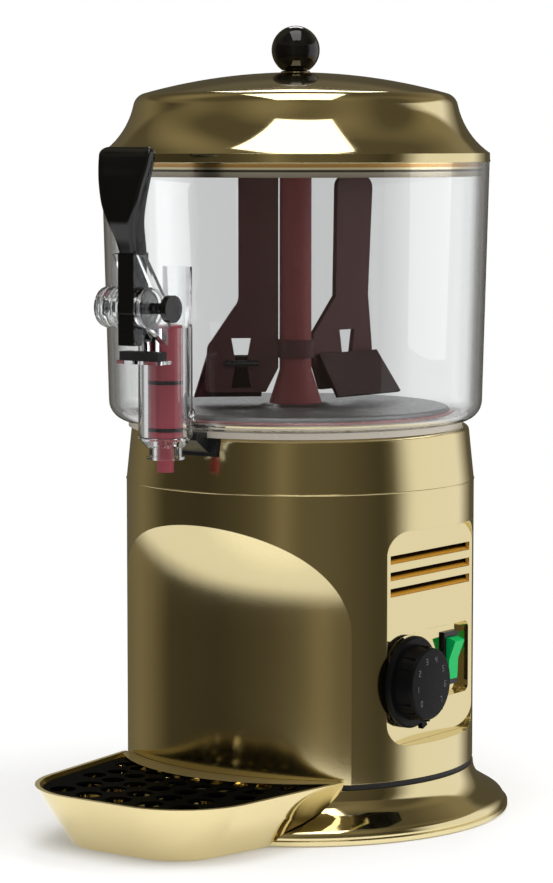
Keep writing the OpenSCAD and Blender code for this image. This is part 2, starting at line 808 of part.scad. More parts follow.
// The seal grips the edge of the bowl's open bottom
module bowl_gasket() {
    inner = plate_r + plain_gap;
    color(RUST)
    at_bowl_axis()
    rotate_extrude($fn = 180)
    polygon([[inner, ring_z], [bowl_mouth_r + 6, ring_z], [bowl_mouth_r + 6, bowl_z],
        [bowl_mouth_r, bowl_z], [bowl_mouth_r, bowl_z + bowl_wall], [bowl_mouth_r + 2, bowl_z + bowl_wall],
        [bowl_mouth_r + 1, bowl_z + bowl_wall + 1.4], [inner, bowl_z + bowl_wall + 1.4]]);
}

// Outer profile of the lid, drawn in by t
function lid_slope() = asin(lid_shoulder_r / lid_dome_r);
function lid_dome_z() = lid_z - lid_dome_r;
function shoulder_cx() = lid_shoulder_r - lid_round_r * sin(lid_slope());
function shoulder_cz() = lid_dome_z() + (lid_dome_r - lid_round_r) * cos(lid_slope());
function lid_points(t) = concat(
    [for (p = arc(0, lid_dome_z(), lid_dome_r - t, 90, 90 - lid_slope(), 14)) if (p[0] > 1) p],
    arc(shoulder_cx(), shoulder_cz(), lid_round_r - t, 86 - lid_slope(), 12, 8),
    arc(lid_flare_cx(), lid_flare_cz(), lid_flare_r + t, 192, 236, 10),
    [[bowl_rim_r + 0.2 - t, rim_z + 1.5]]);
function lid_flare_cx() = shoulder_cx() + (lid_round_r + lid_flare_r) * cos(12);
function lid_flare_cz() = shoulder_cz() + (lid_round_r + lid_flare_r) * sin(12);
function lid_inner() = concat(
    [for (a = [232 : -4 : 192]) [lid_flare_cx() + (lid_flare_r + lid_wall) * cos(a),
        lid_flare_cz() + (lid_flare_r + lid_wall) * sin(a)]],
    arc(shoulder_cx(), shoulder_cz(), lid_round_r - lid_wall, 12, 86 - lid_slope(), 8),
    [for (p = arc(0, lid_dome_z(), lid_dome_r - lid_wall, 90 - lid_slope(), 90, 14)) if (p[0] > 1) p]);

module lid_shell() {
    plug_out = bowl_rim_r - bowl_wall - 1;
    color(GOLD)
    at_bowl_axis()
    difference() {
        rotate_extrude($fn = 180)
        polygon(concat([[0, lid_z]], lid_points(0), [[bowl_rim_r + 0.5, rim_z], [plug_out, rim_z],
            [plug_out, rim_z - lid_plug_h], [plug_out - lid_wall, rim_z - lid_plug_h],
            [plug_out - lid_wall, rim_z + lid_wall]], lid_inner(), [[0, lid_z - lid_wall]]));
        translate([0, 0, lid_z - 10]) cylinder(r = 3, h = 20, $fn = 48);
    }
}

module lid_neck() {
    color(GOLD)
    at_bowl_axis()
    rotate_extrude($fn = 64)
    polygon([[0, lid_z - lid_wall - 4], [2.9, lid_z - lid_wall - 4], [2.9, lid_z], [9, lid_z], [8.4, lid_z + 0.7],
        [6, neck_top_z], [0, neck_top_z]]);
}

knob_z = lid_z + knob_r - 1.2;
neck_top_z = lid_z + neck_h * 0.4;

module lid_knob() {
    color(BLACK)
    at_bowl_axis()
    difference() {
        translate([0, 0, knob_z]) sphere(r = knob_r, $fn = 96);
        translate([0, 0, neck_top_z - knob_r]) cylinder(r = knob_r, h = knob_r, $fn = 64);
    }
}

// ---------------------------------------------------------------- tap

module at_tap() {
    translate([0, tap_y, 0]) children();
}

module at_pivot() {
    translate([0, pivot_y, pivot_z]) children();
}

ear_x = lever_w / 2 + lever_play;
nose_z = pivot_z - nose_drop;
window_w = finger_w + 2 * lever_play;
buffer_z = pivot_z - lever_down - 9;

// Side plate of the tap: round ear, web to the tube and a slanting prong in front of the strip
module ear_plate() {
    web_y = tap_y - 9;
    prong_y = pivot_y - 8;
    prong_z = pivot_z + lever_up - 1;
    union() {
        translate([pivot_y, pivot_z]) circle(r = ear_r, $fn = 64);
        polygon([[pivot_y, pivot_z - ear_r], [pivot_y + 4, pivot_z + ear_r - 1], [web_y, tap_top_z + 4],
            [web_y, tap_top_z - 12]]);
        polygon([[prong_y, prong_z], [prong_y + 3, prong_z + 0.6], [pivot_y + 14, pivot_z + 4],
            [pivot_y + 10, pivot_z + 2]]);
    }
}

module tap_body() {
    tube_h = tap_top_z - tap_z;
    strip_y = 11.3;
    ledge_y = tap_y - tap_r - 8;
    color(CLEAR)
    difference() {
        union() {
            at_tap() translate([0, 0, tap_z]) cylinder(r = tap_r, h = tube_h);
            at_tap() translate([0, 0, tap_z - spout_cone_h]) cylinder(r1 = spout_r, r2 = tap_r, h = spout_cone_h);
            at_tap() translate([0, 0, spout_z]) cylinder(r = spout_r - 1.5, h = spout_h + 1);
            at_tap() translate([0, 0, spout_z]) cylinder(r = spout_r, h = 1.5);
            at_tap() intersection() {
                translate([0, 0, tap_z]) cylinder(r = tap_r, h = tube_h + tap_strip_h);
                translate([-tap_r, strip_y, tap_z]) cube([2 * tap_r, tap_r, tube_h + tap_strip_h + 1]);
            }
            slab_x(ear_x, ear_t) ear_plate();
            slab_x(-ear_x - ear_t, ear_t) ear_plate();
            at_pivot() bar_x(-ear_x - long_ear_t, ear_r, long_ear_t);
            // ledge under the buffer
            translate([-buffer_w / 2 - 1, ledge_y - 2.5, buffer_z - 2]) cube([buffer_w + 2, 12.5, 2]);
            // duct into the bowl
            at_bowl_axis() translate([0, 0, bowl_z + duct_z]) rotate([90, 0, 0])
            translate([0, 0, bowl_foot_r - bowl_wall - 3]) cylinder(r = duct_r - 0.02, h = 22, $fn = 64);
        }
        at_bowl_axis() difference() {
            bowl_solid(-0.02, bowl_z - 0.02, rim_z);
            translate([0, 0, bowl_z + duct_z]) rotate([90, 0, 0]) cylinder(r = duct_r, h = 150, $fn = 64);
        }
        at_tap() translate([0, 0, tap_z]) cylinder(r = tap_bore_r, h = tube_h + tap_strip_h + 2);
        at_tap() translate([0, 0, spout_z - 1]) cylinder(r = rod_r + 0.5, h = 30);
        at_bowl_axis() translate([0, 0, bowl_z + duct_z]) rotate([90, 0, 0])
        cylinder(r = duct_r - 2, h = tap_reach, $fn = 64);
        // window for the lever's nose
        translate([-window_w / 2, tap_y - tap_r - 3, nose_z - 8]) cube([window_w, tap_r + 3, 60]);
        at_pivot() bar_x(-ear_x - long_ear_t + 2, pin_r + running_fit, 60);
    }
}

module tap_pin() {
    head_t = 4;
    color(BLACK)
    at_pivot() union() {
        bar_x(-ear_x - long_ear_t + 2.3, pin_r, long_ear_t + 2 * ear_x + ear_t + pin_out - 3);
        bar_x(ear_x + ear_t + pin_out - head_t, pin_head_r, head_t);
    }
}

module tap_buffer() {
    color(BLACK)
    translate([-buffer_w / 2, tap_y - tap_r - 9, buffer_z]) cube([buffer_w, 8, buffer_t]);
}

// Side view of the lever's bar, about its axis
module bar_outline() {
    front = -9.6;
    back = front + lever_d;
    union() {
        circle(r = ear_r - 1, $fn = 64);
        polygon([[front, -lever_down], [front + 7, -lever_down], [back, -lever_down + 9],
            [back, lever_up], [front, lever_up]]);
    }
}

// Side view of the finger that reaches into the piston
module finger_outline() {
    half_t = 1.7;
    union() {
        polygon([[4, -4], [11, -8], [13, -nose_drop + half_t], [nose_reach, -nose_drop + half_t],
            [nose_reach, -nose_drop - half_t], [10.5, -nose_drop - half_t], [1, -10]]);
        translate([nose_reach, -nose_drop]) circle(r = nose_r, $fn = 48);
    }
}

module tap_lever() {
    color(BLACK)
    difference() {
        at_pivot() union() {
            slab_x(-lever_w / 2, lever_w) bar_outline();
            slab_x(-finger_w / 2, finger_w) finger_outline();
        }
        at_pivot() bar_x(-20, pin_r + running_fit, 40);
    }
}

// One level of the grip: half width, front and back in Y, height
module grip_level(half_w, front, back, z) {
    translate([0, pivot_y, pivot_z + lever_up + z])
    linear_extrude(height = 0.6) union() {
        translate([-half_w, front + 1.5]) square([2 * half_w, back - front - 2.5]);
        for (x = [-1, 1]) {
            translate([x * (half_w - 1.5), front + 1.5]) circle(r = 1.5, $fn = 16);
            translate([x * (half_w - 1), back - 1]) circle(r = 1, $fn = 16);
        }
    }
}

module tap_grip() {
    w = grip_w / 2;
    front = -9.6;
    color(BLACK)
    union() {
        hull() {
            grip_level(lever_w / 2, front, 3.9, 0);
            grip_level(lever_w / 2 + 2, front - 3.4, 1.4, grip_h * 0.15);
        }
        hull() {
            grip_level(lever_w / 2 + 2, front - 3.4, 1.4, grip_h * 0.15);
            grip_level(w * 0.66, front - 8.5, -6.6, grip_h * 0.42);
        }
        hull() {
            grip_level(w * 0.66, front - 8.5, -6.6, grip_h * 0.42);
            grip_level(w * 0.84, front - 7, -7.4, grip_h * 0.7);
        }
        hull() {
            grip_level(w * 0.84, front - 7, -7.4, grip_h * 0.7);
            grip_level(w, front - 3.6, -7, grip_h * 0.93);
        }
        hull() {
            grip_level(w, front - 3.6, -7, grip_h * 0.93);
            grip_level(w - 2.5, front - 2.4, -8, grip_h - 0.6);
        }
    }
}

piston_z = tap_z + 0.4;
piston_top_z = tap_top_z + 1;
ring_grooves = [3.5, 30.5];
groove_h = 2;

module tap_piston() {
    slot_r = nose_r + nose_play;
    color(RUST)
    difference() {
        union() {
            at_tap() translate([0, 0, piston_z]) cylinder(r = piston_r, h = piston_top_z - piston_z);
            at_tap() translate([0, 0, spout_z - rod_out]) cylinder(r = rod_r, h = piston_z - spout_z + rod_out + 1);
        }
        for (g = ring_grooves) at_tap() translate([0, 0, piston_z + g]) difference() {
            cylinder(r = piston_r + 1, h = groove_h);
            translate([0, 0, -1]) cylinder(r = piston_r - 1.2, h = groove_h + 2);
        }
        // window for the nose, with a floor that slopes down to the front
        slab_x(-window_w / 2, window_w)
        polygon([[tap_y + piston_r + 1, nose_z + slot_r], [tap_y - piston_r - 3, nose_z + slot_r],
            [tap_y - piston_r - 3, nose_z - slot_r - 6.2], [tap_y + 1.3, nose_z - slot_r],
            [tap_y + piston_r + 1, nose_z - slot_r]]);
    }
}

module piston_rings() {
    color(BLACK)
    for (g = ring_grooves) at_tap() translate([0, 0, piston_z + g + 0.1]) difference() {
        cylinder(r = tap_bore_r - running_fit, h = groove_h - 0.2);
        translate([0, 0, -1]) cylinder(r = piston_r - 1.2, h = groove_h + 2);
    }
}

// ---------------------------------------------------------------- controls

// Outline of the pocket round dial and switch, drawn in by t
module pocket_outline(t) {
    intersection() {
        union() {
            translate([-dial_y, dial_z]) circle(r = dial_recess_r - t);
            translate([pocket_end - t - 30, pocket_z]) rounded_rect(60, pocket_h - 2 * t, 4);
        }
        translate([-panel_w / 2 + 2.2 + t, 0]) square([panel_w, 300]);
    }
}

module control_panel() {
    wall = 1.8;
    first_z = panel_z + panel_h / 2 - slot_drop;
    color(GOLD)
    difference() {
        union() {
            translate([0, 0, panel_z]) slab_x(panel_x - panel_t, panel_t)
            rounded_rect(panel_w - 0.04, panel_h - 0.04, panel_corner_r);
            slab_x(pocket_x - wall, pocket_depth + wall - 0.1) pocket_outline(-wall);
            // slanting blades behind the slots
            for (i = [0 : slot_count - 1])
            translate([0, -slot_w / 2, first_z - slot_h - i * slot_pitch])
            rotate([90, 0, 180]) linear_extrude(height = slot_w)
            polygon([[-panel_x + 0.2, 0], [-panel_x + 0.2, -1.2], [-panel_x + 7.5, 3.4], [-panel_x + 7.5, 4.6]]);
        }
        slab_x(pocket_x, 20) pocket_outline(0);
        for (i = [0 : slot_count - 1])
        translate([0, -slot_w / 2, first_z - slot_h - i * slot_pitch])
        rotate([90, 0, 180]) linear_extrude(height = slot_w)
        polygon([[-panel_x - 1, 0], [-panel_x, 0], [-panel_x + 8, 4.9], [-panel_x + 8, slot_h + 4],
            [-panel_x + panel_t, slot_h], [-panel_x - 1, slot_h]]);
        translate([0, -dial_y, dial_z]) bar_x(pocket_x - 5, spindle_r + plain_gap, 10);
        translate([pocket_x - 5, switch_y - switch_body_w / 2, pocket_z - switch_body_h / 2])
        cube([10, switch_body_w, switch_body_h]);
    }
}

spindle_r = 3;
skirt_x = pocket_x + pocket_depth + 2.5;
switch_body_w = switch_w - 2.6;
switch_body_h = switch_h - 4;

module thermostat_dial() {
    skirt_t = 3.2;
    face_x = panel_x + dial_out;
    grip_len = face_x - skirt_x - skirt_t;
    color(BLACK)
    translate([0, -dial_y, dial_z])
    difference() {
        union() {
            translate([skirt_x, 0, 0]) rotate([0, 90, 0]) rotate_extrude()
            polygon(concat([[0, 0], [dial_skirt_r, 0], [dial_skirt_r, skirt_t - 1.4],
                [dial_skirt_r - 1.4, skirt_t], [dial_grip_r + 0.6, skirt_t]],
                arc(dial_grip_r - 2, skirt_t + grip_len - 1.6, 1.6, 0, 90, 4), [[0, skirt_t + grip_len]]));
            // pointer on the skirt
            rotate([21, 0, 0]) translate([skirt_x, -2.5, -dial_skirt_r - 3]) cube([skirt_t, 5, 6]);
            // grip ribs
            for (i = [0 : 17]) rotate([i * 20, 0, 0])
            translate([skirt_x + skirt_t - 1, 0, dial_grip_r - 0.3]) bar_x(0, 1.1, grip_len - 0.6, $fn = 24);
            // hub on the spindle
            bar_x(skirt_x - 2, 6, 4);
        }
        bar_x(skirt_x - 3, spindle_r + 0.02, 11);
    }
}

module dial_spindle() {
    color(STEEL)
    translate([0, -dial_y, dial_z]) bar_x(pocket_x - 14, spindle_r, skirt_x + 7 - pocket_x + 14);
}

module thermostat_body() {
    back_x = pocket_x - 1.8;
    color([0.55, 0.45, 0.30])
    translate([0, -dial_y, dial_z])
    difference() {
        union() {
            bar_x(back_x - 4, 8, 4);
            translate([back_x - 24, -17, -17]) cube([20, 34, 34]);
        }
        bar_x(pocket_x - 14.3, spindle_r + running_fit, 30);
    }
}

module switch_frame() {
    lip_t = 2;
    color(BLACK)
    translate([0, switch_y, pocket_z])
    difference() {
        union() {
            translate([pocket_x, -switch_w / 2, -switch_h / 2]) cube([lip_t, switch_w, switch_h]);
            translate([pocket_x - 12, -switch_body_w / 2 + 0.02, -switch_body_h / 2 + 0.02])
            cube([13, switch_body_w - 0.04, switch_body_h - 0.04]);
        }
        translate([pocket_x - 9, -rocker_w / 2 - plain_gap, -rocker_r - plain_gap])
        cube([30, rocker_w + 2 * plain_gap, 2 * (rocker_r + plain_gap)]);
    }
}

rocker_r = switch_body_h / 2 - 1.3;
rocker_w = switch_body_w - 2.4;
rocker_x = pocket_x + 1.5;

module switch_rocker() {
    reach = 4.6;
    color([0.1, 0.7, 0.4])
    translate([rocker_x, switch_y, pocket_z]) rotate([0, rock_angle, 0]) rotate([90, 0, 0])
    translate([0, 0, -rocker_w / 2]) linear_extrude(height = rocker_w)
    intersection() {
        circle(r = rocker_r, $fn = 128);
        polygon([[-3, -rocker_r - 1], [reach, -rocker_r - 1], [reach - 2.2, 0], [reach, rocker_r + 1],
            [-3, rocker_r + 1], [-5, 0]]);
    }
}

module switch_contacts() {
    color("goldenrod")
    for (z = [-8, 0, 8]) translate([pocket_x - 20, switch_y - 2.4, pocket_z + z - 0.4]) cube([8, 4.8, 0.8]);
}

// ---------------------------------------------------------------- drip tray

// Plan of the tray, drawn in by t at the sides and front
module tray_plan(t, front, half_w, corner) {
    side = 60;
    hull() {
        for (x = [-1, 1]) translate([x * (half_w * 0.272), -front + corner]) circle(r = corner - t, $fn = 64);
        translate([-half_w + t, -side]) square([2 * (half_w - t), 1]);
    }
}

module tray_mass(t, z0, z1) {
    low_half = tray_half_w - tray_draw_in * 0.75;
    hull() {
        translate([0, 0, z1 - 0.01]) linear_extrude(height = 0.01)
        tray_plan(t, tray_front, tray_half_w, tray_corner_r);
        translate([0, 0, z0]) linear_extrude(height = 0.01)
        tray_plan(t, tray_front - tray_draw_in, low_half, tray_corner_r - tray_draw_in);
    }
}

// Everything behind the tray: the niche wall and the flared base, grown by gap
module behind_tray(gap) {
    union() {
        behind_niche(-gap);
        translate([0, 0, gap]) flange_solid(-gap);
        translate([0, 0, -5]) cylinder(r = rim_r + gap, h = 5 + foot_stand + rim_lip_h + gap, $fn = 180);
        translate([-150, -70, -5]) cube([300, 300, 100]);
    }
}

tray_floor_z = 0.6;

module drip_tray() {
    color(GOLD)
    union() {
        difference() {
            tray_mass(0, tray_floor_z, tray_h);
            difference() {
                tray_mass(tray_wall, tray_floor_z + tray_wall, tray_h + 1);
                behind_tray(tray_gap + tray_wall);
            }
            behind_tray(tray_gap);
        }
        // posts that carry the grille
        for (x = [-1, 1], y = [rim_r + 10, tray_front - 28]) translate([x * 32, -y, tray_floor_z + 1])
        cylinder(r = 3, h = grille_z - tray_floor_z - 1, $fn = 32);
    }
}

grille_z = tray_h - grille_drop - grille_t;

module drip_grille() {
    color(BLACK)
    difference() {
        intersection() {
            translate([0, 0, grille_z]) linear_extrude(height = grille_t)
            tray_plan(tray_wall + 1.4, tray_front - 1.9, tray_half_w - 1, tray_corner_r - 1.5);
            translate([0, 0, 1]) cube([400, 400, 200], center = true);
        }
        behind_tray(tray_gap + tray_wall + 0.4);
        for (row = [0 : hole_rows - 1], col = [-5 : 5]) {
            ring_r = hole_first_r * pow(hole_growth, row);
            x = ring_r * sin(col * hole_step);
            y = niche_axis_y - ring_r * cos(col * hole_step);
            r = min(ring_r * sin(hole_step / 2) * 2 - hole_web, hole_last_d) / 2;
            side = tray_half_w - tray_wall - 6 - r - max(0, -y - 110) * 0.14;
            corner = norm([max(0, abs(x) - tray_half_w * 0.272), min(0, y + tray_front - tray_corner_r)]);
            if (abs(x) < side && corner + r + 7 < tray_corner_r && y < -88)
            translate([x, y, grille_z - 1]) cylinder(r = r, h = grille_t + 2, $fn = 48);
        }
    }
}

body_shell();
base_flange();
base_seal();
foot_ring();
bottom_plate();
housing_screws();
cable_gland();
top_ring();
tap_seat();
boiler_tank();
boiler_base();
heating_ring();
shaft_bush();
gear_motor();
motor_bracket();
central_column();
drive_shaft();
mixing_paddle();
scrapers();
scraper_pins();
bowl();
bowl_gasket();
lid_shell();
lid_neck();
lid_knob();
tap_body();
tap_pin();
tap_buffer();
tap_lever();
tap_grip();
tap_piston();
piston_rings();
control_panel();
thermostat_dial();
dial_spindle();
thermostat_body();
switch_frame();
switch_rocker();
switch_contacts();
drip_tray();
drip_grille();
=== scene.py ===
import json
import math

import bpy
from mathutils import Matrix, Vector


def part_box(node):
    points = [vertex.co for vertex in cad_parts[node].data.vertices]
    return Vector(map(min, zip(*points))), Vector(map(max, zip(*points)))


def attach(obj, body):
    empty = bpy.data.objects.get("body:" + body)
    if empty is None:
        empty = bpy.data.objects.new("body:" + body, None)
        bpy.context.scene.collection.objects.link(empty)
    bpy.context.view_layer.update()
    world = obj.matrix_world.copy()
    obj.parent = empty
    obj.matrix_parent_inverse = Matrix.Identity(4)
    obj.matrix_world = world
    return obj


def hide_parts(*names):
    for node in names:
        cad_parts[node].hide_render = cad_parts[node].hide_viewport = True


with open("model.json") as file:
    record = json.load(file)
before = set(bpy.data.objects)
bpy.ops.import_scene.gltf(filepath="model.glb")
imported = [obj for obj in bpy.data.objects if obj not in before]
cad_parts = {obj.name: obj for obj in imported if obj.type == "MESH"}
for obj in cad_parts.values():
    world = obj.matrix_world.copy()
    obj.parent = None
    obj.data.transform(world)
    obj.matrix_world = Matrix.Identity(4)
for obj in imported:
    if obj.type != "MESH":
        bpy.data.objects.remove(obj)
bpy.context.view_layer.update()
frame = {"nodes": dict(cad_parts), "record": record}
scene = bpy.context.scene
nodes = frame["nodes"]

# ---------------------------------------------------------------- camera

# The photographer stands at this angle to the front, towards the control side, with the lens turned down
VIEW_DEGREES = 35.5
VIEW_TURN = math.radians(VIEW_DEGREES)
PITCH = 0.096
YAW = -0.0076


def from_view(right, away, up):
    """A direction given to the right of, away from and above the photographer, in the part's frame."""
    c, s = math.cos(VIEW_TURN), math.sin(VIEW_TURN)
    return Vector((right * c - away * s, right * s + away * c, up))


camera_data = bpy.data.cameras.new("camera")
camera_data.lens = 127.8
camera_data.sensor_width = 36.0
camera_data.clip_end = 50.0
camera = bpy.data.objects.new("camera", camera_data)
scene.collection.objects.link(camera)
camera.location = (1.0964, -1.5371, 0.403)
look = from_view(math.sin(YAW) * math.cos(PITCH), math.cos(YAW) * math.cos(PITCH), -math.sin(PITCH))
camera.rotation_euler = look.to_track_quat("-Z", "Y").to_euler()
scene.camera = camera
scene.view_settings.view_transform = "Standard"

# ---------------------------------------------------------------- node trees


class Tree:
    """A short way to add nodes to a node tree."""

    def __init__(self, tree):
        self.tree = tree

    def put(self, socket, value):
        """Links an output to the socket, or sets the socket's own number, colour or vector."""
        if isinstance(value, bpy.types.NodeSocket):
            self.tree.links.new(value, socket)
        else:
            socket.default_value = (*value, 1) if socket.type == "RGBA" else value

    def add(self, kind, inputs=None, **values):
        node = self.tree.nodes.new(kind)
        for key, value in values.items():
            setattr(node, key, value)
        for key, value in (inputs or {}).items():
            self.put(node.inputs[key], value)
        return node

    def coords(self):
        return self.add("ShaderNodeTexCoord").outputs["Object"]

    def apart(self, vector):
        """The three parts of a vector."""
        return tuple(self.add("ShaderNodeSeparateXYZ", {0: vector}).outputs)

    def ray(self, kind):
        """1 for rays of that kind and 0 for others."""
        return self.add("ShaderNodeLightPath").outputs[kind]

    def noise(self, scale, detail=3.0):
        inputs = {"Scale": scale, "Detail": detail, "Vector": self.coords()}
        return self.add("ShaderNodeTexNoise", inputs).outputs["Fac"]

    def calc(self, operation, *values):
        return self.add("ShaderNodeMath", dict(enumerate(values)), operation=operation).outputs[0]

    def ramp(self, value, low, high, start=0.35, end=0.65):
        """low where value is start, high where it is end."""
        inputs = {"Value": value, "From Min": start, "From Max": end, "To Min": low, "To Max": high}
        return self.add("ShaderNodeMapRange", inputs).outputs["Result"]

    def mix(self, factor, a, b):
        """The colour a where factor is 0, and b where it is 1."""
        return self.add("ShaderNodeMix", {0: factor, 6: a, 7: b}, data_type="RGBA").outputs[2]

    def varied(self, color, spread):
        """A colour that wanders slowly to both sides of the one given."""
        share = self.ramp(self.noise(14.0, 2.0), 0, 1)
        return self.mix(share, scaled(color, 1 - spread), scaled(color, 1 + spread))

    def bands(self, value, stops):
        """A colour for each value, in straight steps between the stops (value, colour)."""
        node = self.add("ShaderNodeValToRGB", {0: value})
        band = node.color_ramp
        while len(band.elements) < len(stops):
            band.elements.new(0.5)
        for element, (at, color) in zip(band.elements, stops):
            element.position = at
            element.color = (*color, 1)
        return node.outputs[0]

    def bump(self, height, strength, distance=0.0002, edge=0.0):
        """A normal with relief, and with edges that look rounded to the radius edge."""
        node = self.add("ShaderNodeBump", {"Strength": strength, "Distance": distance, "Height": height})
        if edge:
            bevel = self.add("ShaderNodeBevel", {"Radius": edge}, samples=4)
            self.put(node.inputs["Normal"], bevel.outputs["Normal"])
        return node.outputs["Normal"]

    def principled(self, inputs):
        return self.add("ShaderNodeBsdfPrincipled", inputs).outputs[0]

    def blend(self, factor, a, b):
        """The shader a where factor is 0, and b where it is 1."""
        return self.add("ShaderNodeMixShader", {0: factor, 1: a, 2: b}).outputs[0]


class Look(Tree):
    """A new material's node tree."""

    def __init__(self, name):
        self.material = bpy.data.materials.new(name)
        self.material.use_nodes = True
        self.material.cycles.emission_sampling = "NONE"
        super().__init__(self.material.node_tree)
        self.tree.nodes.clear()

    def surface(self, shader):
        self.add("ShaderNodeOutputMaterial", {"Surface": shader})
        return self.material

    def glowing(self, color):
        return self.surface(self.add("ShaderNodeEmission", {"Color": color}).outputs[0])


def scaled(color, k):
    return tuple(min(1.0, c * k) for c in color)


# ---------------------------------------------------------------- materials

GOLD = (0.77, 0.66, 0.37)
POLISH = 0.07
SOFT_EDGE = 0.0004
CLEAR_IOR = 1.49


def moulded(name, color, rough, spread=0.08, grain=900.0, bump=0.06, metallic=0.0, specular=0.5,
            edge=SOFT_EDGE):
    """Plastic, rubber or metal with slight colour and gloss variation and a fine surface grain."""
    n = Look(name)
    fine = n.noise(grain, 2.0)
    return n.surface(n.principled({
        "Base Color": n.varied(color, spread),
        "Roughness": n.ramp(fine, rough * 0.85, rough * 1.2),
        "Metallic": metallic,
        "Specular IOR Level": specular,
        "Normal": n.bump(fine, bump, edge=edge)}))


def clear(name, tint, edge=(0.55, 0.92), edge_grey=0.06, specular=0.5):
    """Clear moulded plastic, greyer where it is seen on edge: edge says from what slant to what slant.

    Shadow and diffuse rays pass it, so that what is inside is lit.
    """
    n = Look(name)
    slant = n.add("ShaderNodeLayerWeight", {"Blend": 0.5}).outputs["Facing"]
    plastic = n.principled({
        "Base Color": n.mix(n.ramp(slant, 0, 1, *edge), tint, scaled(tint, edge_grey)),
        "Roughness": 0.0,
        "IOR": CLEAR_IOR,
        "Transmission Weight": 1.0,
        "Specular IOR Level": specular,
        "Normal": n.bump(n.noise(9.0, 2.0), 0.05, 0.0008)})
    passing = n.add("ShaderNodeBsdfTransparent", {"Color": scaled(tint, 0.97)}).outputs[0]
    lighting = n.calc("MAXIMUM", n.ray("Is Shadow Ray"), n.ray("Is Diffuse Ray"))
    return n.surface(n.blend(lighting, plastic, passing))


def partly_gold(n, share, color, rough, metallic=1.0):
    """Polished gold, with another colour and finish where share is 1."""
    return n.surface(n.principled({
        "Base Color": n.mix(share, GOLD, color),
        "Roughness": n.ramp(share, POLISH, rough, 0.0, 1.0),
        "Metallic": n.ramp(share, 1.0, metallic, 0.0, 1.0),
        "Normal": n.bump(n.noise(900.0, 2.0), 0.0, edge=SOFT_EDGE)}))


def lid_look():
    """Polished gold. On the plug that enters the bowl, bands of colour paint in reflection and shade. From
    the top down they are an orange gold lip, a pale line of painted highlight, a dark band of painted shade
    and a greyer skirt."""
    n = Look("gold_lid")
    z = n.apart(n.coords())[2]
    # Painted reflection and painted shade on the plug, by height: gold and grey bands, a pale highlight line
    # and a dark shade band.
    painted_reflection_bands = n.bands(n.ramp(z, 0.0, 1.0, 0.3816, 0.3900), [
        (0.0, (0.30, 0.26, 0.19)), (0.34, (0.42, 0.37, 0.28)), (0.40, (0.05, 0.04, 0.025)),
        (0.50, (0.05, 0.04, 0.025)), (0.56, (0.75, 0.66, 0.42)), (0.66, (0.75, 0.66, 0.42)),
        (0.71, (0.50, 0.26, 0.06)), (0.92, (0.55, 0.30, 0.08)), (1.0, (0.70, 0.58, 0.32))])
    return partly_gold(n, n.ramp(z, 1.0, 0.0, 0.3892, 0.3902), painted_reflection_bands, 0.3)


def panel_look():
    """Polished gold. The walls of the air slots are a deeper gold, with painted shade that darkens them to
    near black at their inner end.
    """
    n = Look("gold_panel")
    x, _, z = n.apart(n.coords())
    walls_share = n.calc("MULTIPLY", n.ramp(x, 1.0, 0.0, 0.0935, 0.0943), n.ramp(z, 0.0, 1.0, 0.136, 0.137))
    # Painted shade: the slot walls go from a deeper gold to near black towards their inner end.
    color = n.mix(n.ramp(x, 1.0, 0.0, 0.0909, 0.09194), (0.85, 0.46, 0.05), (0.035, 0.012, 0.002))
    return partly_gold(n, walls_share, color, 0.4, 0.35)


def tray_look():
    """Polished gold whose level rim is satin and catches the light."""
    n = Look("gold_tray")
    normal = n.apart(n.add("ShaderNodeTexCoord").outputs["Normal"])
    level = n.ramp(normal[2], 0, 1, 0.8, 0.95)
    high = n.ramp(n.apart(n.coords())[2], 0, 1, 0.030, 0.032)
    return n.surface(n.principled({
        "Base Color": n.varied(GOLD, 0.015),
        "Metallic": 1.0,
        "Roughness": n.ramp(n.calc("MULTIPLY", level, high), POLISH, 0.5)}))


def gasket_look():
    """Soft plastic that is pale in its thin skirt and red in its body above."""
    n = Look("gasket_thin")
    body_share = n.ramp(n.apart(n.coords())[2], 0.0, 1.0, 0.2356, 0.2364)
    return n.surface(n.principled({
        "Base Color": n.mix(body_share, (0.50, 0.45, 0.38), (0.20, 0.045, 0.045)),
        "Roughness": n.ramp(n.noise(200.0, 2.0), 0.225, 0.275)}))


rubber = moulded("seal_rubber", (0.018, 0.018, 0.018), 0.55, bump=0.15, specular=0.3)
